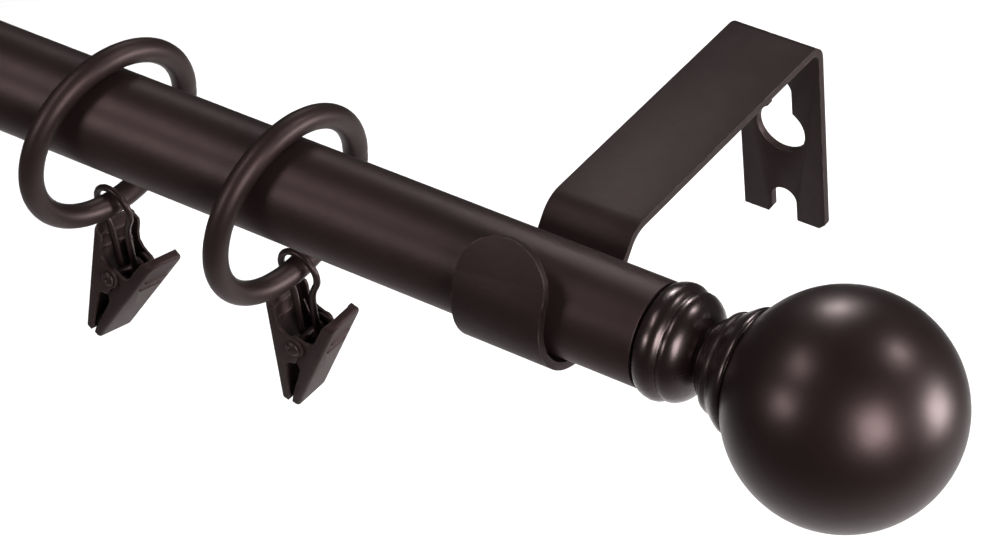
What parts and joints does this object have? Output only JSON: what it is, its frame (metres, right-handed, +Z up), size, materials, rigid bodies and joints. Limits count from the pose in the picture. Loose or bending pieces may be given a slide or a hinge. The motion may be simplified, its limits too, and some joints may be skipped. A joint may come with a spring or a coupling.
{
  "type": "curtain rod with brackets",
  "caption": "Telescoping bronze curtain rod with ball finials, clip rings on the rod and bent strap wall brackets with open hooks.",
  "frame": {"origin": "on the wall plane, midway between the two brackets, level with the rod axis", "axes": "+X along the rod towards the end with the rings, +Y into the wall, +Z up, so the front faces -Y"},
  "size_m": [0.86, 0.1332, 0.103],
  "materials": {
    "bronze": "satin powder coat, dark bronze brown with a fine texture",
    "gloss_bronze": "smooth semi-gloss dark bronze coat on cast resin",
    "wire_bronze": "satin dark bronze wire",
    "zinc": "zinc plated thread",
    "nylon": "matte black nylon"
  },
  "bodies": {
    "wall_brackets": {"bracket_right": "bronze", "bracket_left": "bronze"},
    "rod": {"outer_tube": "bronze", "end_plug_right": "nylon"},
    "inner_rod": {"inner_tube": "bronze", "glide_plug": "nylon", "end_plug_left": "nylon"},
    "right_finial": {"finial_neck_right": "gloss_bronze", "finial_ball_right": "gloss_bronze", "finial_stud_right": "zinc"},
    "left_finial": {"finial_neck_left": "gloss_bronze", "finial_ball_left": "gloss_bronze", "finial_stud_left": "zinc"},
    "ring_1_body": {"ring_1": "bronze"},
    "hanger_1_body": {"hanger_1": "wire_bronze"},
    "clip_1_body": {"clip_back_jaw_1": "bronze", "clip_rivet_1": "bronze", "clip_spring_1": "wire_bronze"},
    "clip_1_front": {"clip_front_jaw_1": "bronze"},
    "ring_2_body": {"ring_2": "bronze"},
    "hanger_2_body": {"hanger_2": "wire_bronze"},
    "clip_2_body": {"clip_back_jaw_2": "bronze", "clip_rivet_2": "bronze", "clip_spring_2": "wire_bronze"},
    "clip_2_front": {"clip_front_jaw_2": "bronze"}
  },
  "joints": [
    {"name": "rod_lift", "type": "slide", "parent": "wall_brackets", "child": "rod", "axis": [0, 0.4848, 0.8746], "range_m": [0, 0.06]},
    {"name": "telescope", "type": "slide", "parent": "rod", "child": "inner_rod", "axis": [-1, 0, 0], "range_m": [-0.008, 0.5]},
    {"name": "right_finial_turn", "type": "hinge", "parent": "rod", "child": "right_finial", "pos_m": [0.3556, -0.1061, 0], "axis": [1, 0, 0], "continuous": true},
    {"name": "left_finial_turn", "type": "hinge", "parent": "inner_rod", "child": "left_finial", "pos_m": [-0.3556, -0.1061, 0], "axis": [-1, 0, 0], "continuous": true},
    {"name": "ring_1_slide", "type": "slide", "parent": "rod", "child": "ring_1_body", "axis": [1, 0, 0], "range_m": [-0.4, 0.004]},
    {"name": "hanger_1_swing", "type": "hinge", "parent": "ring_1_body", "child": "hanger_1_body", "pos_m": [0.19035, -0.10461, -0.0312], "axis": [0.1045, 0.9945, 0], "range_deg": [-18, 18]},
    {"name": "clip_1_tilt", "type": "hinge", "parent": "hanger_1_body", "child": "clip_1_body", "pos_m": [0.19093, -0.10467, -0.05349], "axis": [0.1972, 0.9606, -0.1959], "range_deg": [-24, 1]},
    {"name": "clip_1_squeeze", "type": "hinge", "parent": "clip_1_body", "child": "clip_1_front", "pos_m": [0.19093, -0.10467, -0.05349], "axis": [-0.1972, -0.9606, 0.1959], "range_deg": [0, 14], "stiffness_Nm_per_rad": 0.12, "springref_deg": -20.05, "deforming": ["clip_spring_1"]},
    {"name": "ring_2_slide", "type": "slide", "parent": "rod", "child": "ring_2_body", "axis": [1, 0, 0], "range_m": [-0.004, 0.034]},
    {"name": "hanger_2_swing", "type": "hinge", "parent": "ring_2_body", "child": "hanger_2_body", "pos_m": [0.24619, -0.10116, -0.03114], "axis": [0.0645, 0.9979, 0], "range_deg": [-18, 18]},
    {"name": "clip_2_tilt", "type": "hinge", "parent": "hanger_2_body", "child": "clip_2_body", "pos_m": [0.24619, -0.10116, -0.05344], "axis": [0.0645, 0.9979, 0], "range_deg": [-17, 7]},
    {"name": "clip_2_squeeze", "type": "hinge", "parent": "clip_2_body", "child": "clip_2_front", "pos_m": [0.24619, -0.10116, -0.05344], "axis": [-0.0645, -0.9979, 0], "range_deg": [0, 14], "stiffness_Nm_per_rad": 0.12, "springref_deg": -20.05, "deforming": ["clip_spring_2"]}
  ]
}
